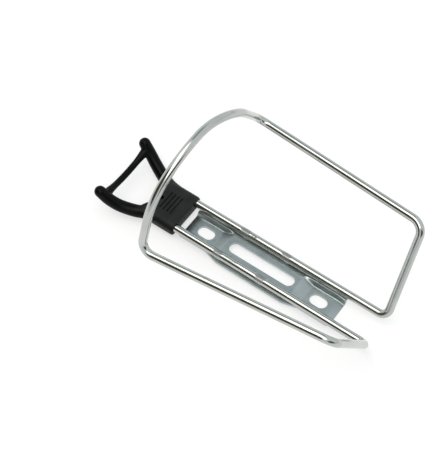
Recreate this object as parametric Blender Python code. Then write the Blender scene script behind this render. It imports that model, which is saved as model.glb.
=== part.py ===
"""Bicycle water bottle cage: a bent steel wire frame, a stamped steel mounting
bracket welded behind it, and a moulded plastic bottle clip pushed on the two
wire ends.

Metres. +Z points away from the bicycle tube, +Y runs along the bottle towards
its neck, X runs across. The origin is the middle of the mounting face, halfway
between the two bolt holes, so the tabs' back faces lie at z = 0.
"""
import math

import bmesh
import bpy
from mathutils import Vector

MM = 0.001

# Driving dimensions
GAP = 0.3 * MM                   # clearance between pieces that touch
WIRE_RADIUS = 2.0 * MM
SHEET = 1.5 * MM                 # thickness of the bracket's steel
TAB_RECESS = 2.2 * MM            # how far the tabs are pressed down
HOLE_SPACING = 64.0 * MM         # standard bottle cage bosses
BOTTLE_RADIUS = 36.5 * MM        # a 73 mm bottle

# Wire frame, centreline
SPINE_HALF = 8.6 * MM            # half the distance between the spine wires
SPINE_Z = SHEET + TAB_RECESS + GAP + WIRE_RADIUS
WIRE_END_Y = 58.5 * MM           # wire ends, inside the clip
BASE_Y = -63.0 * MM              # where the spine wires turn outward
BASE_CORNER = Vector((35.9, -60.4, 46.6)) * MM
HOOP_CORNER = Vector((44.8, 34.3, 42.2)) * MM
HOOP_CENTRE_Z = 44.0 * MM        # the bottle's axis
HOOP_RADIUS = BOTTLE_RADIUS + WIRE_RADIUS - 0.3 * MM      # a light grip on the bottle
HOOP_TOP_Y = 32.6 * MM
HOOP_SHIFT = -3.2 * MM           # the bent hoop's set to one side
HOOP_TWIST = -1.9 * MM           # and how far its shoulders are turned along Y
SPINE_BEND = 4.1 * MM            # bend radii on the centreline
CORNER_BEND = 6.4 * MM
HOOP_BEND = 6.0 * MM

# Mounting bracket
PLATE_MOUTH_Y = 41.7 * MM
PLATE_BASE_Y = -42.6 * MM
WING_HALF = 11.4 * MM            # half width at the wings
TAB_HALF = 9.3 * MM              # half width at the tabs
FLOOR_HALF = 5.3 * MM            # half width of a tab's recessed floor
WALL_RUN = 1.7 * MM              # sideways run of the tab's side walls
RAMP_TOP_Y = 20.3 * MM
RAMP_FOOT_Y = 25.0 * MM
BOLT_HOLE = (6.0 * MM, 9.0 * MM)     # width, length
STRAP_SLOT = (6.2 * MM, 36.2 * MM)

# Bottle clip
CLIP_END_Y = 43.8 * MM           # face that the wires enter
CLIP_CROTCH_Y = 61.0 * MM        # front of the block, between the horns
CLIP_BOTTOM_Z = 2.1 * MM
CLIP_TOP_Z = 9.2 * MM
CLIP_HALF = 11.6 * MM
CLIP_SHOULDER_Y = 59.8 * MM      # beyond this the block narrows between the horns
CLIP_EDGE = 0.6 * MM             # chamfer round the face that the wires enter
CROTCH_RADIUS = 12.0 * MM
BORE_RADIUS = WIRE_RADIUS + GAP
BORE_END_Y = WIRE_END_Y + GAP
GROOVE_FIRST_Y = 49.6 * MM
GROOVE_PITCH = 2.05 * MM
GROOVE_COUNT = 4
GROOVE_HALF = 5.3 * MM           # half length across the block
GROOVE_WIDTH = 0.9 * MM
GROOVE_DEPTH = 0.7 * MM
BLIND_HOLE = (58.5 * MM, 1.2 * MM, 4.0 * MM)      # y, radius, depth
HORN_PATH = ((8.2, 53.0, 5.9), (9.3, 60.0, 5.6), (11.7, 66.0, 5.4), (14.5, 72.6, 7.3),
             (16.4, 77.6, 10.9), (17.4, 81.5, 15.0))   # mm, rounded tip centre last
HORN_RADII = (3.3 * MM, 2.9 * MM)                      # root, tip
WEB_PATH = ((17.0, 79.6, 13.0), (12.4, 79.8, 11.8), (6.0, 80.1, 10.4), (0.0, 80.2, 9.9))
WEB_RADIUS = 1.7 * MM

TUBE_SIDES = 12


def clear_scene():
    for item in list(bpy.data.objects):
        bpy.data.objects.remove(item, do_unlink=True)


def make_material(name, colour, metallic, roughness):
    material = bpy.data.materials.new(name)
    material.use_nodes = True
    shader = material.node_tree.nodes["Principled BSDF"]
    shader.inputs["Base Color"].default_value = (*colour, 1.0)
    shader.inputs["Metallic"].default_value = metallic
    shader.inputs["Roughness"].default_value = roughness
    return material


def add_object(name, data, material=None):
    item = bpy.data.objects.new(name, data)
    bpy.context.scene.collection.objects.link(item)
    if material:
        data.materials.append(material)
    return item


def mesh_object(name, work, material=None):
    """Turn a bmesh into an object, with its faces pointing out."""
    bmesh.ops.recalc_face_normals(work, faces=work.faces)
    mesh = bpy.data.meshes.new(name)
    work.to_mesh(mesh)
    work.free()
    return add_object(name, mesh, material)


def smooth_shade(item, angle=35.0):
    item.data.shade_smooth()
    item.data.set_sharp_from_angle(angle=math.radians(angle))


# ---------------------------------------------------------------- paths

def ease(t):
    """Smooth rise from 0 to 1."""
    t = min(max(t, 0.0), 1.0)
    return t * t * (3.0 - 2.0 * t)


def fillet(before, corner, after, radius, steps=7):
    """Points of an arc that rounds the corner between two straight runs."""
    into = (before - corner).normalized()
    out = (after - corner).normalized()
    half = into.angle(out) / 2.0
    reach = radius / math.tan(half)
    centre = corner + (into + out).normalized() * (radius / math.sin(half))
    first = corner + into * reach - centre
    last = corner + out * reach - centre
    sweep = first.angle(last)
    points = []
    for step in range(steps + 1):
        t = step / steps
        points.append(centre + (first * math.sin((1.0 - t) * sweep) + last * math.sin(t * sweep))
                      / math.sin(sweep))
    return points


def smooth_path(guides, steps=5):
    """Catmull-Rom curve through the guide points."""
    ends = [guides[0] * 2 - guides[1]] + guides + [guides[-1] * 2 - guides[-2]]
    points = []
    for i in range(len(guides) - 1):
        a, b, c, d = ends[i:i + 4]
        for step in range(steps):
            t = step / steps
            points.append(0.5 * (2 * b + (c - a) * t + (2 * a - 5 * b + 4 * c - d) * t * t
                                 + (3 * b - a - 3 * c + d) * t ** 3))
    points.append(guides[-1])
    return points


def mirror_x(points):
    return [Vector((-p.x, p.y, p.z)) for p in points]


def on_hoop(side, angle, y):
    """Point of the hoop's arc, at an angle from straight up, with its side turned to +X."""
    return Vector((side * HOOP_SHIFT + HOOP_RADIUS * math.sin(angle), y,
                   HOOP_CENTRE_Z + HOOP_RADIUS * math.cos(angle)))


def hoop_arc(side, steps=16):
    """Half of the arc round the bottle, from the end of the straight flare to the top."""
    out = HOOP_CORNER.x - side * HOOP_SHIFT
    rise = HOOP_CORNER.z - HOOP_CENTRE_Z
    start = math.atan2(out, rise) - math.acos(HOOP_RADIUS / math.hypot(out, rise))
    shoulder_y = HOOP_TOP_Y + side * HOOP_TWIST
    flare = on_hoop(side, start, shoulder_y) - HOOP_CORNER
    climb = flare.y / flare.length * HOOP_RADIUS * start
    points = []
    for step in range(steps + 1):
        t = step / steps
        y = shoulder_y + climb * t * (1.0 - t) ** 2 + (HOOP_TOP_Y - shoulder_y) * ease(t)
        points.append(on_hoop(side, start * (1.0 - t), y))
    return points


def half_wire(side):
    """Centreline from the wire's end to the top of the hoop, with its side turned to +X."""
    end = Vector((SPINE_HALF, WIRE_END_Y, SPINE_Z))
    spine_corner = Vector((SPINE_HALF, BASE_Y, SPINE_Z))
    arc = hoop_arc(side)
    points = [end]
    points += fillet(end, spine_corner, BASE_CORNER, SPINE_BEND)
    points += fillet(spine_corner, BASE_CORNER, HOOP_CORNER, CORNER_BEND)
    points += fillet(BASE_CORNER, HOOP_CORNER, arc[0], HOOP_BEND)
    return points + arc


def wire_path():
    """Centreline of the whole wire, from one end in the clip round to the other."""
    return half_wire(1) + mirror_x(half_wire(-1)[-2::-1])


def tube_curve(name, points, radii, sides=TUBE_SIDES):
    """A curve object with a round bevel, closed by a cap at each end."""
    curve = bpy.data.curves.new(name, "CURVE")
    curve.dimensions = "3D"
    curve.bevel_depth = 1.0
    curve.bevel_resolution = sides // 2 - 2
    curve.use_fill_caps = True
    spline = curve.splines.new("POLY")
    spline.points.add(len(points) - 1)
    for slot, point, radius in zip(spline.points, points, radii):
        slot.co = (*point, 1.0)
        slot.radius = radius
    return curve


def tube_object(name, points, radii, sides=TUBE_SIDES):
    """The same tube as a mesh object, for use in a Boolean."""
    guide = add_object(name + "_guide", tube_curve(name, points, radii, sides))
    bpy.context.view_layer.update()
    shaped = guide.evaluated_get(bpy.context.evaluated_depsgraph_get())
    mesh = bpy.data.meshes.new_from_object(shaped)
    mesh.name = name
    bpy.data.objects.remove(guide, do_unlink=True)
    return add_object(name, mesh)


# ---------------------------------------------------------------- cutters and joins

def hide_helper(item):
    item.hide_render = True
    item.display_type = "WIRE"


def combine(target, other, operation):
    """Boolean join or cut by another object, which stays as a hidden helper."""
    hide_helper(other)
    step = target.modifiers.new(other.name, "BOOLEAN")
    step.operation = operation
    step.solver = "EXACT"
    step.object = other


def prism(name, outline, z_low, z_high):
    """Upright prism over a flat outline of (x, y) points."""
    work = bmesh.new()
    face = work.faces.new([work.verts.new((x, y, z_low)) for x, y in outline])
    raised = bmesh.ops.extrude_face_region(work, geom=[face])
    verts = [v for v in raised["geom"] if isinstance(v, bmesh.types.BMVert)]
    bmesh.ops.translate(work, verts=verts, vec=(0.0, 0.0, z_high - z_low))
    return mesh_object(name, work)


def oblong(width, length, y_centre, arc_steps=8):
    """Outline of a round-ended slot that runs along Y."""
    radius = width / 2.0
    straight = length / 2.0 - radius
    outline = []
    for side, start in ((1, 0.0), (-1, math.pi)):
        for step in range(arc_steps + 1):
            angle = start + math.pi * step / arc_steps
            outline.append((radius * math.cos(angle), y_centre + side * straight + radius * math.sin(angle)))
    return outline


def rod_cutter(name, centre, radius, depth, axis, sides=20):
    """Round cutter, centred, along Y or Z."""
    work = bmesh.new()
    bmesh.ops.create_cone(work, cap_ends=True, segments=sides, radius1=radius, radius2=radius, depth=depth)
    item = mesh_object(name, work)
    item.location = centre
    if axis == "Y":
        item.rotation_euler = (math.pi / 2.0, 0.0, 0.0)
    return item


# ---------------------------------------------------------------- wire frame

def build_wire_frame(material):
    path = wire_path()
    curve = tube_curve("wire_frame", path, [WIRE_RADIUS] * len(path))
    add_object("wire_frame", curve, material)


# ---------------------------------------------------------------- mounting bracket

def plate_height(x, y):
    """Mid-plane height of the pressed sheet at a place on the bracket."""
    across = 1.0 - ease((abs(x) - FLOOR_HALF) / WALL_RUN)
    along = ease((abs(y) - RAMP_TOP_Y) / (RAMP_FOOT_Y - RAMP_TOP_Y))
    return SHEET / 2.0 + TAB_RECESS * (1.0 - across * along)


def plate_half_width(y):
    taper = (abs(y) - RAMP_TOP_Y + 1.8 * MM) / (RAMP_FOOT_Y - RAMP_TOP_Y + 2.8 * MM)
    return WING_HALF + (TAB_HALF - WING_HALF) * min(max(taper, 0.0), 1.0)


def stations(low, high, count):
    return [low + (high - low) * step / count for step in range(count + 1)]


def build_mounting_bracket(material):
    wall_end = FLOOR_HALF + WALL_RUN
    inner = [0.0] + stations(FLOOR_HALF, wall_end, 4)
    halves = inner + ["edge"]
    ramp = stations(RAMP_TOP_Y - 1.8 * MM, RAMP_FOOT_Y + 1.0 * MM, 6)
    rows = [PLATE_BASE_Y] + [-y for y in reversed(ramp)] + ramp + [PLATE_MOUTH_Y]
    work = bmesh.new()
    grid = []
    for y in rows:
        columns = [plate_half_width(y) if x == "edge" else x for x in halves]
        xs = [-x for x in reversed(columns[1:])] + columns
        grid.append([work.verts.new((x, y, plate_height(x, y))) for x in xs])
    for low, high in zip(grid, grid[1:]):
        for i in range(len(low) - 1):
            work.faces.new((low[i], low[i + 1], high[i + 1], high[i]))
    plate = mesh_object("mounting_bracket", work, material)
    solid = plate.modifiers.new("sheet", "SOLIDIFY")
    solid.thickness = SHEET
    solid.offset = 0.0
    solid.use_even_offset = True
    for name, size, y in (("mouth_hole_cut", BOLT_HOLE, HOLE_SPACING / 2.0),
                          ("base_hole_cut", BOLT_HOLE, -HOLE_SPACING / 2.0),
                          ("strap_slot_cut", STRAP_SLOT, 0.0)):
        cutter = prism(name, oblong(size[0], size[1], y), -SHEET, SPINE_Z)
        combine(plate, cutter, "DIFFERENCE")
    smooth_shade(plate)


# ---------------------------------------------------------------- bottle clip

def block_section():
    """Right half of the block's cross-section, from the top down, as (x, z)."""
    top = CLIP_TOP_Z
    low = CLIP_BOTTOM_Z
    return [(CLIP_HALF - 2.0 * MM, top), (CLIP_HALF - 1.0 * MM, top - 0.35 * MM),
            (CLIP_HALF - 0.4 * MM, top - 1.1 * MM), (CLIP_HALF, top - 3.0 * MM),
            (CLIP_HALF, low + 2.8 * MM), (CLIP_HALF - 0.5 * MM, low + 1.4 * MM),
            (CLIP_HALF - 1.3 * MM, low + 0.5 * MM), (CLIP_HALF - 2.4 * MM, low)]


def clip_block(material):
    """Block that holds the wire ends. Its origin is on the line the clip slides along."""
    section = block_section()
    loop = section + [(-x, z) for x, z in reversed(section)]
    front_y = CLIP_CROTCH_Y + 3.0 * MM
    lengths = ((CLIP_END_Y, 1.0 - CLIP_EDGE / CLIP_HALF), (CLIP_END_Y + CLIP_EDGE, 1.0),
               (CLIP_SHOULDER_Y, 1.0), (front_y, 0.78))
    work = bmesh.new()
    rings = []
    for y, shrink in lengths:
        ring = [work.verts.new((x * shrink, y - CLIP_END_Y, (z - SPINE_Z) * shrink)) for x, z in loop]
        rings.append(ring)
    for near, far in zip(rings, rings[1:]):
        for i in range(len(loop)):
            j = (i + 1) % len(loop)
            work.faces.new((near[i], near[j], far[j], far[i]))
    work.faces.new(rings[0])
    work.faces.new(rings[-1])
    block = mesh_object("bottle_clip", work, material)
    block.location = (0.0, CLIP_END_Y, SPINE_Z)
    return block


def horn(name, side):
    guides = [Vector((side * x, y, z)) * MM for x, y, z in HORN_PATH]
    path = smooth_path(guides)
    root, tip = HORN_RADII
    radii = [root + (tip - root) * i / (len(path) - 1) for i in range(len(path))]
    heading = (path[-1] - path[-2]).normalized()
    for angle in (25.0, 50.0, 72.0, 84.0):
        turn = math.radians(angle)
        path.append(guides[-1] + heading * tip * math.sin(turn))
        radii.append(tip * math.cos(turn))
    return tube_object(name, path, radii)


def build_bottle_clip(material):
    clip = clip_block(material)
    crotch_centre = (0.0, CLIP_CROTCH_Y + CROTCH_RADIUS, SPINE_Z)
    front_cut = rod_cutter("crotch_cut", crotch_centre, CROTCH_RADIUS, 16.0 * MM, "Z", sides=40)
    combine(clip, front_cut, "DIFFERENCE")
    for name, side in (("horn_right", 1), ("horn_left", -1)):
        combine(clip, horn(name, side), "UNION")
    half_web = [Vector(point) * MM for point in WEB_PATH]
    web_guides = half_web + mirror_x(half_web[-2::-1])
    web_path = smooth_path(web_guides, steps=3)
    combine(clip, tube_object("web", web_path, [WEB_RADIUS] * len(web_path), sides=10), "UNION")
    for name, side in (("bore_right_cut", 1), ("bore_left_cut", -1)):
        start = CLIP_END_Y - 2.0 * MM
        centre = (side * SPINE_HALF, (start + BORE_END_Y) / 2.0, SPINE_Z)
        combine(clip, rod_cutter(name, centre, BORE_RADIUS, BORE_END_Y - start, "Y"), "DIFFERENCE")
    for index in range(GROOVE_COUNT):
        y = GROOVE_FIRST_Y + index * GROOVE_PITCH
        half = GROOVE_WIDTH / 2.0
        outline = [(-GROOVE_HALF, y - half), (GROOVE_HALF, y - half),
                   (GROOVE_HALF, y + half), (-GROOVE_HALF, y + half)]
        groove = prism("groove_cut_%d" % index, outline, CLIP_TOP_Z - GROOVE_DEPTH, CLIP_TOP_Z + GAP)
        combine(clip, groove, "DIFFERENCE")
    hole_y, hole_radius, hole_depth = BLIND_HOLE
    hole = rod_cutter("blind_hole_cut", (0.0, hole_y, CLIP_TOP_Z), hole_radius, hole_depth * 2.0, "Z", sides=14)
    combine(clip, hole, "DIFFERENCE")
    smooth_shade(clip)


def main():
    clear_scene()
    chrome = make_material("chrome_wire", (0.78, 0.76, 0.71), 1.0, 0.12)
    zinc = make_material("zinc_plate", (0.56, 0.60, 0.62), 1.0, 0.38)
    plastic = make_material("black_plastic", (0.018, 0.018, 0.020), 0.0, 0.42)
    build_wire_frame(chrome)
    build_mounting_bracket(zinc)
    build_bottle_clip(plastic)


main()
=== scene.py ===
import math

import bmesh
import bpy
from mathutils import Matrix, Vector, noise


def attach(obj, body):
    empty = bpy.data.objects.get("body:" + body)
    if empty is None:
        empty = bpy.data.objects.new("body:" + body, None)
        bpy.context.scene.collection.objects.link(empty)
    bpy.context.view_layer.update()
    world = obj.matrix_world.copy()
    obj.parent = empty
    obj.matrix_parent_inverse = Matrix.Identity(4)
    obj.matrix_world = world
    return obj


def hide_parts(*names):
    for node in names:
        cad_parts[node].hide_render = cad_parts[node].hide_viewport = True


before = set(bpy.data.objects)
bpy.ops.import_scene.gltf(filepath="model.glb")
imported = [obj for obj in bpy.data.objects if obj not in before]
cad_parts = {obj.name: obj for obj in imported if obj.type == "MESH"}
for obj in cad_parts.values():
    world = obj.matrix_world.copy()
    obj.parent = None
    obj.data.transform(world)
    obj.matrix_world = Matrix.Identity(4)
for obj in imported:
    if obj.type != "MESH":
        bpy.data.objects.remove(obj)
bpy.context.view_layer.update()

MM = 0.001

# Wire frame, as in the CAD model
SPINE_HALF = 8.6 * MM
SPINE_Z = 6.0 * MM
WIRE_RADIUS = 2.0 * MM
WIRE_END_Y = 58.5 * MM
BASE_Y = -63.0 * MM
BASE_CORNER = Vector((35.9, -60.4, 46.6)) * MM
HOOP_CORNER = Vector((44.8, 34.3, 42.2)) * MM
HOOP_CENTRE_Z = 44.0 * MM
HOOP_RADIUS = 38.2 * MM
HOOP_TOP_Y = 32.6 * MM
HOOP_SHIFT = -3.2 * MM
HOOP_TWIST = -1.9 * MM
SPINE_BEND = 4.1 * MM
CORNER_BEND = 6.4 * MM
HOOP_BEND = 6.0 * MM
WIRE_SIDES = 32
RUN_STEPS = 240                  # fine steps along the spine wires, for the flattened welds
RUN_CLEAR = 12.0 * MM            # they stop this far before the base bend
WELDS = {1: (15.0 * MM, -8.0 * MM), -1: (19.0 * MM, -4.9 * MM)}     # places on each spine wire
WELD_LENGTH = 5.6 * MM
WELD_FLAT = 1.86 * MM            # height of the electrode's flat above the wire's middle
WELD_PRESS = 0.92                # share of the wire above the flat that is pressed down
WELD_FADE = 1.1 * MM
WELD_SHOULDER = 1.3 * MM         # the greyed skin fades in over this height
BEAD_HALF = (1.75 * MM, WELD_LENGTH / 2.0, 0.75 * MM)

# Mounting bracket
SHEET = 1.5 * MM
TAB_RECESS = 2.2 * MM
BEAD_Z = SHEET + TAB_RECESS + 0.2 * MM
PLATE_MOUTH_Y = 41.7 * MM
PLATE_BASE_Y = -42.6 * MM
WING_HALF = 11.4 * MM
TAB_HALF = 9.3 * MM
FLOOR_HALF = 5.3 * MM
WALL_RUN = 1.7 * MM
RAMP_TOP_Y = 20.3 * MM
RAMP_FOOT_Y = 25.0 * MM
RAMP_START_Y = RAMP_TOP_Y - 0.2 * MM
RAMP_END_Y = RAMP_FOOT_Y + 0.3 * MM
RAMP_BEND = 0.6 * MM
RAMP_OFFSET = 0.3 * MM           # on the back, the ramps lie this much nearer to the middle
WALL_FOOT_X = FLOOR_HALF + 0.3 * MM
WALL_TOP_X = FLOOR_HALF + WALL_RUN - 0.3 * MM
WALL_BEND = 0.32 * MM
WALL_OFFSET = 0.9 * MM           # on the back, the side walls lie this much further out
TAPER_Y = (18.5 * MM, 26.3 * MM)
HOLE_Y = 32.0 * MM
BOLT_HOLE = (6.0 * MM, 9.0 * MM)
STRAP_SLOT = (6.2 * MM, 36.2 * MM)
ROLL_START_Y = 36.2 * MM         # sheared tab ends thin out towards the edge
ROLL_LENGTH = 5.5 * MM
ROLL_DROP = 0.75 * MM
PLATE_MARGIN = 1.0 * MM          # the uncut sheet reaches this far past its outline
PLATE_CORNER = 0.8 * MM
PLATE_EDGE = 0.12 * MM
COARSE_X = 0.9 * MM
FINE_X = 0.2 * MM
COARSE_Y = 1.2 * MM
FINE_Y = 0.25 * MM

# Bottle clip
CLIP_END_Y = 43.8 * MM
CLIP_CROTCH_Y = 61.0 * MM
CLIP_BOTTOM_Z = 2.1 * MM
CLIP_TOP_Z = 9.2 * MM
CLIP_HALF = 11.6 * MM
CLIP_EDGE = 1.0 * MM
BLOCK_CORNERS = (1.6 * MM, 3.1 * MM, 3.1 * MM, 1.6 * MM)
BLOCK_RINGS = ((CLIP_END_Y, 0.965),
               (CLIP_END_Y + 0.25 * MM, 0.985),
               (CLIP_END_Y + CLIP_EDGE, 1.0),
               (WIRE_END_Y, 1.0),
               (CLIP_CROTCH_Y + 4.5 * MM, 0.74))       # place along Y, scale of the section
CROTCH_RADIUS = 12.0 * MM
CROTCH_DEPTH = 16.0 * MM
BORE_LEAD = 2.0 * MM             # the bore's cutter starts this far outside the block
BORE_RADIUS = 2.3 * MM
BORE_END_Y = 58.8 * MM
GROOVE_FIRST_Y = 49.6 * MM
GROOVE_PITCH = 2.05 * MM
GROOVE_COUNT = 4
GROOVE_HALF = 5.3 * MM
GROOVE_WIDTH = 0.8 * MM
GROOVE_DEPTH = 0.7 * MM
BLIND_HOLE = (58.5 * MM, 1.2 * MM, 4.0 * MM)     # place along Y, radius, depth
HORN_PATH = ((8.2, 53.0, 5.9), (9.3, 60.0, 5.6), (11.7, 66.0, 5.4), (14.5, 72.6, 7.3),
             (16.4, 77.6, 10.9), (17.4, 81.5, 15.0))
HORN_RADII = (3.3 * MM, 2.9 * MM)
HORN_SIDES = 28
WEB_PATH = ((17.0, 79.6, 13.0), (12.4, 79.8, 11.8), (6.0, 80.1, 10.4), (0.0, 80.2, 9.9))
WEB_RADIUS = 1.65 * MM
WEB_FLARE = 0.65 * MM            # extra radius where the web joins the horns
WEB_SIDES = 20
VOXEL = 0.32 * MM
GRAIN_AND_SHADE_END_Y = (60.5 * MM, 66.0 * MM)      # the grain gives way to a polished surface, painted darker as shade, over these
# the block's faces below these heights are polished and painted darker as shade; the grained top above them
# is painted lighter
GRAIN_AND_SHADE_LOW_Z = (7.6 * MM, 8.8 * MM)

# Camera: a long lens above and to the left of the base
AZIMUTH = -53.54
ELEVATION = 57.64
ROLL = -0.69
DISTANCE = 628.98 * MM
TARGET = Vector((-1.57, 25.81, 6.0)) * MM
SENSOR = 36.0
LENS = 101.4

FLOOR_REACH = 3.0
FLOOR_Z = -0.05 * MM
SOFTBOX_FROM = (-0.27, 0.0, 0.96)
SOFTBOX_ALONG = (0.62, 0.78, 0.0)
SOFTBOX_DISTANCE = 0.9
SOFTBOX_SIZE = (0.52, 1.15)
SOFTBOX_POWER = 4.2
SOFTBOX_COLOUR = (1.0, 0.965, 0.88)


# ---------------------------------------------------------------- helpers

def ease(t):
    """Smooth rise from 0 to 1."""
    t = min(max(t, 0.0), 1.0)
    return t * t * (3.0 - 2.0 * t)


def add_object(name, data):
    item = bpy.data.objects.new(name, data)
    bpy.context.scene.collection.objects.link(item)
    return item


def mesh_object(name, work):
    bmesh.ops.recalc_face_normals(work, faces=work.faces)
    mesh = bpy.data.meshes.new(name)
    work.to_mesh(mesh)
    work.free()
    return add_object(name, mesh)


def smooth_shade(item, angle=35.0):
    item.data.shade_smooth()
    item.data.set_sharp_from_angle(angle=math.radians(angle))


def bake_modifiers(item):
    """Swap an object's mesh for the one its modifiers make."""
    bpy.context.view_layer.update()
    shaped = item.evaluated_get(bpy.context.evaluated_depsgraph_get())
    mesh = bpy.data.meshes.new_from_object(shaped)
    item.modifiers.clear()
    item.data = mesh


def boolean(item, other, operation):
    step = item.modifiers.new(operation, "BOOLEAN")
    step.operation = operation
    step.solver = "EXACT"
    step.object = other
    bake_modifiers(item)
    bpy.data.objects.remove(other, do_unlink=True)


def fillet(before, corner, after, radius, steps=14):
    """Arc that rounds a corner between two straight runs."""
    into = (before - corner).normalized()
    out = (after - corner).normalized()
    half = into.angle(out) / 2.0
    reach = radius / math.tan(half)
    centre = corner + (into + out).normalized() * (radius / math.sin(half))
    first = corner + into * reach - centre
    last = corner + out * reach - centre
    sweep = first.angle(last)
    points = []
    for step in range(steps + 1):
        t = step / steps
        points.append(centre + (first * math.sin((1.0 - t) * sweep) + last * math.sin(t * sweep))
                      / math.sin(sweep))
    return points


def smooth_path(guides, steps):
    """Catmull-Rom curve through the guide points."""
    ends = [guides[0] * 2 - guides[1]] + guides + [guides[-1] * 2 - guides[-2]]
    points = []
    for i in range(len(guides) - 1):
        a, b, c, d = ends[i:i + 4]
        for step in range(steps):
            t = step / steps
            points.append(0.5 * (2 * b + (c - a) * t + (2 * a - 5 * b + 4 * c - d) * t * t
                                 + (3 * b - a - 3 * c + d) * t ** 3))
    points.append(guides[-1])
    return points


def mirror_x(points):
    return [Vector((-p.x, p.y, p.z)) for p in points]


def sweep_tube(name, points, radii, sides):
    """Round tube along a path, with flat caps."""
    work = bmesh.new()
    normal = Vector((0.0, 0.0, 1.0))
    rings = []
    for i, (point, radius) in enumerate(zip(points, radii)):
        before = points[max(i - 1, 0)]
        after = points[min(i + 1, len(points) - 1)]
        tangent = (after - before).normalized()
        normal = (normal - tangent * normal.dot(tangent)).normalized()
        across = tangent.cross(normal)
        ring = []
        for side in range(sides):
            angle = 2.0 * math.pi * side / sides
            spoke = normal * math.cos(angle) + across * math.sin(angle)
            ring.append(work.verts.new(point + spoke * radius))
        rings.append(ring)
    for near, far in zip(rings, rings[1:]):
        for i in range(sides):
            j = (i + 1) % sides
            work.faces.new((near[i], near[j], far[j], far[i]))
    work.faces.new(rings[0])
    work.faces.new(rings[-1])
    return mesh_object(name, work)


def prism(name, outline, z_low, z_high):
    work = bmesh.new()
    face = work.faces.new([work.verts.new((x, y, z_low)) for x, y in outline])
    raised = bmesh.ops.extrude_face_region(work, geom=[face])
    verts = [v for v in raised["geom"] if isinstance(v, bmesh.types.BMVert)]
    bmesh.ops.translate(work, verts=verts, vec=(0.0, 0.0, z_high - z_low))
    return mesh_object(name, work)


def oblong(width, length, y_centre, arc_steps=20):
    radius = width / 2.0
    straight = length / 2.0 - radius
    outline = []
    for side, start in ((1, 0.0), (-1, math.pi)):
        for step in range(arc_steps + 1):
            angle = start + math.pi * step / arc_steps
            outline.append((radius * math.cos(angle), y_centre + side * straight + radius * math.sin(angle)))
    return outline


def rod(name, centre, radius, depth, axis, sides=48):
    work = bmesh.new()
    bmesh.ops.create_cone(work, cap_ends=True, segments=sides, radius1=radius, radius2=radius, depth=depth)
    item = mesh_object(name, work)
    turn = Matrix.Rotation(math.pi / 2.0, 4, "X") if axis == "Y" else Matrix.Identity(4)
    item.data.transform(Matrix.Translation(centre) @ turn)
    return item


# ---------------------------------------------------------------- materials

class Shader:
    """Small helper to build a node material."""

    def __init__(self, name):
        self.material = bpy.data.materials.new(name)
        self.material.use_nodes = True
        self.tree = self.material.node_tree
        self.principled = self.tree.nodes["Principled BSDF"]
        self.place = self.tree.nodes.new("ShaderNodeTexCoord").outputs["Object"]

    def link(self, source, target):
        self.tree.links.new(source, target)

    def mapping(self, scale):
        node = self.tree.nodes.new("ShaderNodeMapping")
        node.inputs["Scale"].default_value = scale
        self.link(self.place, node.inputs["Vector"])
        return node.outputs["Vector"]

    def noise(self, scale, detail=4.0, stretch=(1.0, 1.0, 1.0), roughness=0.5):
        node = self.tree.nodes.new("ShaderNodeTexNoise")
        node.inputs["Scale"].default_value = scale
        node.inputs["Detail"].default_value = detail
        node.inputs["Roughness"].default_value = roughness
        self.link(self.mapping(stretch), node.inputs["Vector"])
        return node.outputs["Fac"]

    def ramp(self, value, low, high, out_low, out_high):
        node = self.tree.nodes.new("ShaderNodeMapRange")
        node.inputs["From Min"].default_value = low
        node.inputs["From Max"].default_value = high
        node.inputs["To Min"].default_value = out_low
        node.inputs["To Max"].default_value = out_high
        self.link(value, node.inputs["Value"])
        return node.outputs["Result"]

    def mix(self, factor, first, second):
        node = self.tree.nodes.new("ShaderNodeMix")
        node.data_type = "RGBA"
        self.link(factor, node.inputs["Factor"])
        for socket, value in ((node.inputs["A"], first), (node.inputs["B"], second)):
            if isinstance(value, tuple):
                socket.default_value = (*value, 1.0)
            else:
                self.link(value, socket)
        return node.outputs["Result"]

    def math(self, operation, first, second):
        node = self.tree.nodes.new("ShaderNodeMath")
        node.operation = operation
        for socket, value in zip(node.inputs, (first, second)):
            if isinstance(value, float):
                socket.default_value = value
            else:
                self.link(value, socket)
        return node.outputs["Value"]

    def bump(self, height, strength, distance, under=None):
        node = self.tree.nodes.new("ShaderNodeBump")
        node.inputs["Strength"].default_value = strength
        node.inputs["Distance"].default_value = distance
        self.link(height, node.inputs["Height"])
        if under:
            self.link(under, node.inputs["Normal"])
        return node.outputs["Normal"]

    def attribute(self, name):
        node = self.tree.nodes.new("ShaderNodeAttribute")
        node.attribute_name = name
        return node.outputs["Fac"]


def chrome_wire():
    """Bright nickel-chrome plating, duller and greyer on the spots pressed by the welding electrode."""
    s = Shader("chrome_wire")
    weld = s.attribute("weld")
    tint = s.mix(s.ramp(s.noise(90.0), 0.35, 0.65, 0.0, 1.0), (0.52, 0.53, 0.515), (0.46, 0.47, 0.455))
    s.link(s.mix(weld, tint, (0.34, 0.34, 0.34)), s.principled.inputs["Base Color"])
    s.principled.inputs["Metallic"].default_value = 1.0
    wear = s.ramp(s.noise(700.0, 6.0), 0.4, 0.75, 0.07, 0.17)
    s.link(s.math("ADD", wear, s.math("MULTIPLY", weld, 0.3)), s.principled.inputs["Roughness"])
    ripple = s.bump(s.noise(260.0, 3.0), 0.10, 0.0004)
    s.link(s.bump(s.noise(2600.0, 4.0), 0.06, 0.00006, ripple), s.principled.inputs["Normal"])
    return s.material


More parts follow.
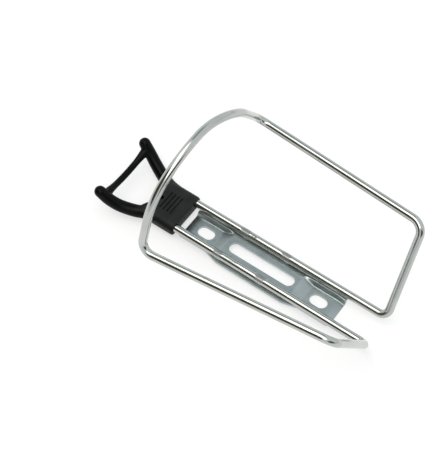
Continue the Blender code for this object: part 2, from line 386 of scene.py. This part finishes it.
def zinc_plate():
    """Satin zinc plating over pressed sheet: bluish grey, with the rolling grain along Y."""
    s = Shader("zinc_plate")
    cloud = s.ramp(s.noise(120.0, 5.0), 0.35, 0.68, 0.0, 1.0)
    base = s.mix(cloud, (0.345, 0.395, 0.40), (0.42, 0.465, 0.47))
    s.link(base, s.principled.inputs["Base Color"])
    s.principled.inputs["Metallic"].default_value = 1.0
    grain = s.noise(1500.0, 5.0, stretch=(1.0, 0.12, 1.0))
    s.link(s.ramp(grain, 0.3, 0.7, 0.30, 0.42), s.principled.inputs["Roughness"])
    waves = s.bump(s.noise(170.0, 2.0), 0.12, 0.0006)
    s.link(s.bump(grain, 0.16, 0.00005, waves), s.principled.inputs["Normal"])
    return s.material


def black_plastic():
    """Black moulded plastic with a fine spark-eroded grain and slight scuffs. Its grained top is painted
    lighter and its polished sides, ends and horns are painted darker, as painted light and shade.
    """
    s = Shader("black_plastic")
    cloud = s.ramp(s.noise(140.0, 5.0), 0.35, 0.7, 0.0, 1.0)
    split = s.tree.nodes.new("ShaderNodeSeparateXYZ")
    s.link(s.place, split.inputs["Vector"])
    beyond = s.ramp(split.outputs["Y"], *GRAIN_AND_SHADE_END_Y, 0.0, 1.0)
    below = s.ramp(split.outputs["Z"], *GRAIN_AND_SHADE_LOW_Z, 1.0, 0.0)
    polished_and_shaded = s.math("MAXIMUM", beyond, below)         # all but the grained top of the block, polished and painted darker as shade
    # painted light and shade: a lighter colour on the grained top, near black on the polished faces
    grained_top_painted_lighter = s.mix(cloud, (0.016, 0.016, 0.017), (0.024, 0.024, 0.025))
    s.link(s.mix(polished_and_shaded, grained_top_painted_lighter, (0.0025, 0.0025, 0.0028)), s.principled.inputs["Base Color"])
    rough = s.ramp(s.noise(420.0, 6.0), 0.35, 0.7, 0.38, 0.50)
    s.link(s.math("SUBTRACT", rough, s.math("MULTIPLY", polished_and_shaded, 0.14)), s.principled.inputs["Roughness"])
    s.principled.inputs["Specular IOR Level"].default_value = 0.09
    pits = s.noise(5200.0, 3.0)
    waves = s.bump(s.noise(300.0, 2.0), 0.10, 0.0004)
    s.link(s.bump(pits, 0.22, 0.00008, waves), s.principled.inputs["Normal"])
    return s.material


# ---------------------------------------------------------------- wire frame

def on_hoop(side, angle, y):
    return Vector((side * HOOP_SHIFT + HOOP_RADIUS * math.sin(angle), y,
                   HOOP_CENTRE_Z + HOOP_RADIUS * math.cos(angle)))


def hoop_arc(side, steps=56):
    out = HOOP_CORNER.x - side * HOOP_SHIFT
    rise = HOOP_CORNER.z - HOOP_CENTRE_Z
    start = math.atan2(out, rise) - math.acos(HOOP_RADIUS / math.hypot(out, rise))
    shoulder_y = HOOP_TOP_Y + side * HOOP_TWIST
    flare = on_hoop(side, start, shoulder_y) - HOOP_CORNER
    climb = flare.y / flare.length * HOOP_RADIUS * start
    points = []
    for step in range(steps + 1):
        t = step / steps
        y = shoulder_y + climb * t * (1.0 - t) ** 2 + (HOOP_TOP_Y - shoulder_y) * ease(t)
        points.append(on_hoop(side, start * (1.0 - t), y))
    return points


def half_wire(side):
    end = Vector((SPINE_HALF, WIRE_END_Y, SPINE_Z))
    spine_corner = Vector((SPINE_HALF, BASE_Y, SPINE_Z))
    run = BASE_Y + RUN_CLEAR - WIRE_END_Y
    straight = []
    for step in range(RUN_STEPS + 1):
        straight.append(Vector((SPINE_HALF, WIRE_END_Y + run * step / RUN_STEPS, SPINE_Z)))
    arc = hoop_arc(side)
    points = straight + fillet(end, spine_corner, BASE_CORNER, SPINE_BEND)
    points += fillet(spine_corner, BASE_CORNER, HOOP_CORNER, CORNER_BEND)
    points += fillet(BASE_CORNER, HOOP_CORNER, arc[0], HOOP_BEND)
    return points + arc


def weld_strength(point):
    """1 on the flattened top of a weld, 0 away from it."""
    if abs(point.z - SPINE_Z) > WIRE_RADIUS * 1.1 or abs(point.x) > SPINE_HALF * 1.4:
        return 0.0
    side = 1 if point.x > 0.0 else -1
    strength = 0.0
    for y in WELDS[side]:
        strength = max(strength, ease((WELD_LENGTH / 2.0 - abs(point.y - y)) / WELD_FADE))
    return strength


def build_wire():
    path = half_wire(1) + mirror_x(half_wire(-1)[-2::-1])
    radii = [WIRE_RADIUS] * len(path)
    wire = sweep_tube("chromed_wire", path, radii, WIRE_SIDES)
    values = []
    for v in wire.data.vertices:
        strength = weld_strength(v.co)
        over = v.co.z - SPINE_Z - WELD_FLAT
        values.append(strength * ease((v.co.z - SPINE_Z) / WELD_SHOULDER))
        if strength > 0.0 and over > 0.0:
            v.co.z -= over * WELD_PRESS * strength
    layer = wire.data.attributes.new("weld", "FLOAT", "POINT")
    layer.data.foreach_set("value", values)
    smooth_shade(wire, 50.0)
    wire.data.materials.append(MATERIALS["chrome_wire"])
    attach(wire, "cage")
    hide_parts("wire_frame")


def build_weld_beads():
    """Fused metal squeezed out between each spine wire and the bracket."""
    work = bmesh.new()
    half_x, half_y, half_z = BEAD_HALF
    for side in (1, -1):
        for y in WELDS[side]:
            made = bmesh.ops.create_icosphere(work, subdivisions=4, radius=1.0)
            for v in made["verts"]:
                seed = Vector((v.co.x * 2.0 + side * 3.0, v.co.y * 5.0 + y * 900.0, v.co.z))
                rough = 1.0 + 0.16 * noise.noise(seed)
                v.co = Vector((side * SPINE_HALF + v.co.x * half_x * rough,
                               y + v.co.y * half_y * rough,
                               BEAD_Z + v.co.z * half_z))
    beads = mesh_object("weld_beads", work)
    beads.data.shade_smooth()
    beads.data.materials.append(MATERIALS["zinc_plate"])
    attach(beads, "cage")


# ---------------------------------------------------------------- mounting bracket

def soft_step(value, low, high, bend):
    """0 below low, 1 above high, straight between them with both bends rounded."""
    t = (value - low) / (high - low)
    b = bend / (high - low)

    def rounded(u):
        if u <= -b:
            return 0.0
        if u >= b:
            return u
        return (u + b) ** 2 / (4.0 * b)
    return rounded(t) - rounded(t - 1.0)


def plate_rise(x, y, outward=0.0, inward=0.0):
    """How far the sheet stands above its tabs; the shifts move the side walls out and the ramps in."""
    across = 1.0 - soft_step(abs(x) - outward, WALL_FOOT_X, WALL_TOP_X, WALL_BEND)
    along = soft_step(abs(y) + inward, RAMP_START_Y, RAMP_END_Y, RAMP_BEND)
    return TAB_RECESS * (1.0 - across * along)


def plate_top(x, y):
    roll = max(0.0, (abs(y) - ROLL_START_Y) / ROLL_LENGTH) ** 2
    return SHEET + plate_rise(x, y) - ROLL_DROP * roll


def plate_back(x, y):
    return plate_rise(x, y, WALL_OFFSET, RAMP_OFFSET)


def stations(low, high, step):
    count = max(1, round((high - low) / step))
    return [low + (high - low) * i / count for i in range(count + 1)]


def rounded_outline(corners, radius):
    """Closed outline with its corners rounded, by one radius or by one for each corner."""
    outline = []
    for i, corner in enumerate(corners):
        before = Vector((*corners[i - 1], 0.0))
        after = Vector((*corners[(i + 1) % len(corners)], 0.0))
        bend = radius[i] if isinstance(radius, tuple) else radius
        outline += [(p.x, p.y) for p in fillet(before, Vector((*corner, 0.0)), after, bend, 6)]
    return outline


def graded(coarse, fine, reach, fine_low, fine_high):
    """Stations from -reach to reach, close together around the bends and wide apart elsewhere."""
    half = stations(0.0, fine_low, coarse)[:-1] + stations(fine_low, fine_high, fine)[:-1]
    half += stations(fine_high, reach, coarse)
    return [-value for value in reversed(half[1:])] + half


def build_bracket():
    """Pressed sheet between a top and a back surface, cut to its outline and punched."""
    xs = graded(COARSE_X, FINE_X, WING_HALF + PLATE_MARGIN,
                WALL_FOOT_X - 0.7 * MM, WALL_TOP_X + WALL_OFFSET + 0.7 * MM)
    ys = graded(COARSE_Y, FINE_Y, -PLATE_BASE_Y + PLATE_MARGIN,
                RAMP_TOP_Y - 1.2 * MM, RAMP_FOOT_Y + 1.2 * MM)
    work = bmesh.new()
    sides = []
    for surface in (plate_top, plate_back):
        grid = [[work.verts.new((x, y, surface(x, y))) for x in xs] for y in ys]
        for low, high in zip(grid, grid[1:]):
            for i in range(len(xs) - 1):
                work.faces.new((low[i], low[i + 1], high[i + 1], high[i]))
        rim = grid[0] + [row[-1] for row in grid[1:]]
        rim += grid[-1][-2::-1] + [row[0] for row in grid[-2:0:-1]]
        sides.append(rim)
    for i in range(len(sides[0])):
        j = (i + 1) % len(sides[0])
        work.faces.new((sides[0][i], sides[0][j], sides[1][j], sides[1][i]))
    plate = mesh_object("zinc_bracket", work)
    half = [(TAB_HALF, PLATE_BASE_Y), (TAB_HALF, -TAPER_Y[1]), (WING_HALF, -TAPER_Y[0]),
            (WING_HALF, TAPER_Y[0]), (TAB_HALF, TAPER_Y[1]), (TAB_HALF, PLATE_MOUTH_Y)]
    corners = half + [(-x, y) for x, y in reversed(half)]
    blank = prism("outline", rounded_outline(corners, PLATE_CORNER), -SHEET, SPINE_Z)
    boolean(plate, blank, "INTERSECT")
    for size, y in ((BOLT_HOLE, HOLE_Y), (BOLT_HOLE, -HOLE_Y), (STRAP_SLOT, 0.0)):
        boolean(plate, prism("punch", oblong(size[0], size[1], y), -SHEET, SPINE_Z), "DIFFERENCE")
    edge = plate.modifiers.new("edge", "BEVEL")
    edge.width = PLATE_EDGE
    edge.segments = 2
    edge.limit_method = "ANGLE"
    edge.angle_limit = math.radians(50.0)
    edge.use_clamp_overlap = True
    bake_modifiers(plate)
    smooth_shade(plate, 40.0)
    plate.data.materials.clear()
    plate.data.materials.append(MATERIALS["zinc_plate"])
    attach(plate, "cage")
    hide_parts("mounting_bracket")


# ---------------------------------------------------------------- bottle clip

def block_outline():
    """Cross-section of the block with rounded corners, as (x, z)."""
    corners = [(CLIP_HALF, CLIP_BOTTOM_Z), (CLIP_HALF, CLIP_TOP_Z),
               (-CLIP_HALF, CLIP_TOP_Z), (-CLIP_HALF, CLIP_BOTTOM_Z)]
    return rounded_outline(corners, BLOCK_CORNERS)


def build_block():
    section = block_outline()
    work = bmesh.new()
    rings = []
    for y, shrink in BLOCK_RINGS:
        rings.append([work.verts.new((x * shrink, y, SPINE_Z + (z - SPINE_Z) * shrink))
                      for x, z in section])
    for near, far in zip(rings, rings[1:]):
        for i in range(len(section)):
            j = (i + 1) % len(section)
            work.faces.new((near[i], near[j], far[j], far[i]))
    work.faces.new(rings[0])
    work.faces.new(rings[-1])
    return mesh_object("moulded_clip", work)


def horn(side):
    """Tapered horn with a round tip."""
    guides = [Vector((side * x, y, z)) * MM for x, y, z in HORN_PATH]
    path = smooth_path(guides, 8)
    root, tip = HORN_RADII
    radii = [root + (tip - root) * i / (len(path) - 1) for i in range(len(path))]
    heading = (path[-1] - path[-2]).normalized()
    for degrees in range(12, 90, 11):
        turn = math.radians(degrees)
        path.append(guides[-1] + heading * tip * math.sin(turn))
        radii.append(tip * math.cos(turn))
    return sweep_tube("horn", path, radii, HORN_SIDES)


def build_clip():
    """Block, horns and web blended into one moulding, then bored and grooved."""
    clip = build_block()
    centre = (0.0, CLIP_CROTCH_Y + CROTCH_RADIUS, SPINE_Z)
    boolean(clip, rod("crotch", centre, CROTCH_RADIUS, CROTCH_DEPTH, "Z", 72), "DIFFERENCE")
    for side in (1, -1):
        boolean(clip, horn(side), "UNION")
    half_web = [Vector(point) * MM for point in WEB_PATH]
    web_path = smooth_path(half_web + mirror_x(half_web[-2::-1]), 6)
    reach = web_path[0].x
    radii = [WEB_RADIUS + WEB_FLARE * ease(abs(point.x) / reach * 1.8 - 0.8) for point in web_path]
    boolean(clip, sweep_tube("web", web_path, radii, WEB_SIDES), "UNION")
    remesh = clip.modifiers.new("blend", "REMESH")
    remesh.mode = "VOXEL"
    remesh.voxel_size = VOXEL
    relax = clip.modifiers.new("relax", "SMOOTH")
    relax.factor = 0.5
    relax.iterations = 8
    bake_modifiers(clip)
    for side in (1, -1):
        start = CLIP_END_Y - BORE_LEAD
        centre = (side * SPINE_HALF, (start + BORE_END_Y) / 2.0, SPINE_Z)
        boolean(clip, rod("bore", centre, BORE_RADIUS, BORE_END_Y - start, "Y"), "DIFFERENCE")
    for index in range(GROOVE_COUNT):
        y = GROOVE_FIRST_Y + index * GROOVE_PITCH
        half = GROOVE_WIDTH / 2.0
        corners = [(GROOVE_HALF, y - half), (GROOVE_HALF, y + half),
                   (-GROOVE_HALF, y + half), (-GROOVE_HALF, y - half)]
        outline = rounded_outline(corners, half * 0.9)
        cut = prism("groove", outline, CLIP_TOP_Z - GROOVE_DEPTH, CLIP_TOP_Z + CLIP_EDGE)
        boolean(clip, cut, "DIFFERENCE")
    hole_y, hole_radius, hole_depth = BLIND_HOLE
    cut = rod("blind_hole", (0.0, hole_y, CLIP_TOP_Z), hole_radius, hole_depth * 2.0, "Z", 32)
    boolean(clip, cut, "DIFFERENCE")
    smooth_shade(clip, 38.0)
    clip.data.materials.clear()
    clip.data.materials.append(MATERIALS["black_plastic"])
    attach(clip, "clip")
    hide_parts("bottle_clip")


# ---------------------------------------------------------------- stage, light and camera

def build_floor():
    work = bmesh.new()
    bmesh.ops.create_grid(work, x_segments=1, y_segments=1, size=FLOOR_REACH)
    floor = mesh_object("floor", work)
    floor.location.z = FLOOR_Z
    s = Shader("floor_white")
    s.principled.inputs["Base Color"].default_value = (0.45, 0.45, 0.45, 1.0)
    s.principled.inputs["Emission Color"].default_value = (1.0, 1.0, 1.0, 1.0)
    s.principled.inputs["Emission Strength"].default_value = 0.56
    s.principled.inputs["Roughness"].default_value = 0.9
    s.principled.inputs["Specular IOR Level"].default_value = 0.1
    floor.data.materials.append(s.material)


def area_light(name, direction, along, distance, size, power, colour):
    """Softbox that faces the cage from the given direction, with its long side lying along a given line."""
    light = bpy.data.lights.new(name, "AREA")
    light.shape = "RECTANGLE"
    light.size, light.size_y = size
    light.energy = power
    light.color = colour
    back = Vector(direction).normalized()
    length = Vector(along)
    length = (length - back * length.dot(back)).normalized()
    turn = Matrix((length.cross(back), length, back)).transposed().to_4x4()
    item = add_object(name, light)
    item.matrix_world = Matrix.Translation(back * distance) @ turn


# Studio around the cage, painted over the grey in this order:
# direction, degrees within which the paint is full, degrees beyond which it is gone, colour
STUDIO_PATCHES = (
    ((0.10, 0.95, 0.20), 18.0, 60.0, (0.95, 0.97, 0.96)),
    ((0.43, 0.32, 0.85), 8.0, 28.0, (0.36, 0.43, 0.46)),
    ((-0.82, 0.44, 0.42), 27.0, 38.0, (0.085, 0.075, 0.040)),
    ((-0.38, -0.90, 0.22), 19.0, 31.0, (0.085, 0.075, 0.040)),
)
HORIZON = (0.07, 0.17, (0.74, 0.79, 0.80))      # pale up to the first height, gone above the second
BACKDROP = (0.97, 0.97, 0.97)                    # seen directly behind the floor's edge
STUDIO_GREY = (0.86, 0.91, 0.93)


def build_world():
    """Grey studio with a pale panel, a dim patch overhead and two dark flags for the chrome to reflect."""
    world = bpy.data.worlds.new("studio")
    world.use_nodes = True
    tree = world.node_tree
    place = tree.nodes.new("ShaderNodeTexCoord").outputs["Generated"]
    length = tree.nodes.new("ShaderNodeVectorMath")
    length.operation = "NORMALIZE"
    tree.links.new(place, length.inputs[0])
    colour = None
    for direction, full, gone, paint in STUDIO_PATCHES:
        towards = tree.nodes.new("ShaderNodeVectorMath")
        towards.operation = "DOT_PRODUCT"
        towards.inputs[1].default_value = Vector(direction).normalized()
        tree.links.new(length.outputs["Vector"], towards.inputs[0])
        cover = tree.nodes.new("ShaderNodeMapRange")
        cover.interpolation_type = "SMOOTHSTEP"
        cover.inputs["From Min"].default_value = math.cos(math.radians(gone))
        cover.inputs["From Max"].default_value = math.cos(math.radians(full))
        tree.links.new(towards.outputs["Value"], cover.inputs["Value"])
        mix = tree.nodes.new("ShaderNodeMix")
        mix.data_type = "RGBA"
        mix.inputs["A"].default_value = (*STUDIO_GREY, 1.0)
        if colour:
            tree.links.new(colour, mix.inputs["A"])
        mix.inputs["B"].default_value = (*paint, 1.0)
        tree.links.new(cover.outputs["Result"], mix.inputs["Factor"])
        colour = mix.outputs["Result"]
    height = tree.nodes.new("ShaderNodeSeparateXYZ")
    tree.links.new(length.outputs["Vector"], height.inputs["Vector"])
    band = tree.nodes.new("ShaderNodeMapRange")
    band.interpolation_type = "SMOOTHSTEP"
    band.inputs["From Min"].default_value = HORIZON[0]
    band.inputs["From Max"].default_value = HORIZON[1]
    tree.links.new(height.outputs["Z"], band.inputs["Value"])
    low = tree.nodes.new("ShaderNodeMix")
    low.data_type = "RGBA"
    low.inputs["A"].default_value = (*HORIZON[2], 1.0)
    tree.links.new(colour, low.inputs["B"])
    tree.links.new(band.outputs["Result"], low.inputs["Factor"])
    seen = tree.nodes.new("ShaderNodeLightPath")
    plain = tree.nodes.new("ShaderNodeMix")
    plain.data_type = "RGBA"
    plain.inputs["B"].default_value = (*BACKDROP, 1.0)
    tree.links.new(seen.outputs["Is Camera Ray"], plain.inputs["Factor"])
    tree.links.new(low.outputs["Result"], plain.inputs["A"])
    tree.links.new(plain.outputs["Result"], tree.nodes["Background"].inputs["Color"])
    bpy.context.scene.world = world


def build_light():
    build_world()
    area_light("top_softbox", SOFTBOX_FROM, SOFTBOX_ALONG, SOFTBOX_DISTANCE, SOFTBOX_SIZE,
               SOFTBOX_POWER, SOFTBOX_COLOUR)


def build_camera():
    azimuth = math.radians(AZIMUTH)
    elevation = math.radians(ELEVATION)
    roll = math.radians(ROLL)
    back = Vector((math.sin(azimuth) * math.cos(elevation),
                   -math.cos(azimuth) * math.cos(elevation),
                   math.sin(elevation)))
    level = (-back).cross(Vector((0.0, 0.0, 1.0))).normalized()
    upright = level.cross(-back)
    right = level * math.cos(roll) + upright * math.sin(roll)
    up = upright * math.cos(roll) - level * math.sin(roll)
    data = bpy.data.cameras.new("camera")
    data.sensor_width = SENSOR
    data.lens = LENS
    camera = add_object("camera", data)
    turn = Matrix((right, up, back)).transposed().to_4x4()
    camera.matrix_world = Matrix.Translation(TARGET + back * DISTANCE) @ turn
    bpy.context.scene.camera = camera
    bpy.context.scene.view_settings.view_transform = "Standard"


MATERIALS = {"chrome_wire": chrome_wire(), "zinc_plate": zinc_plate(), "black_plastic": black_plastic()}
build_camera()
build_floor()
build_light()
build_wire()
build_weld_beads()
build_bracket()
build_clip()
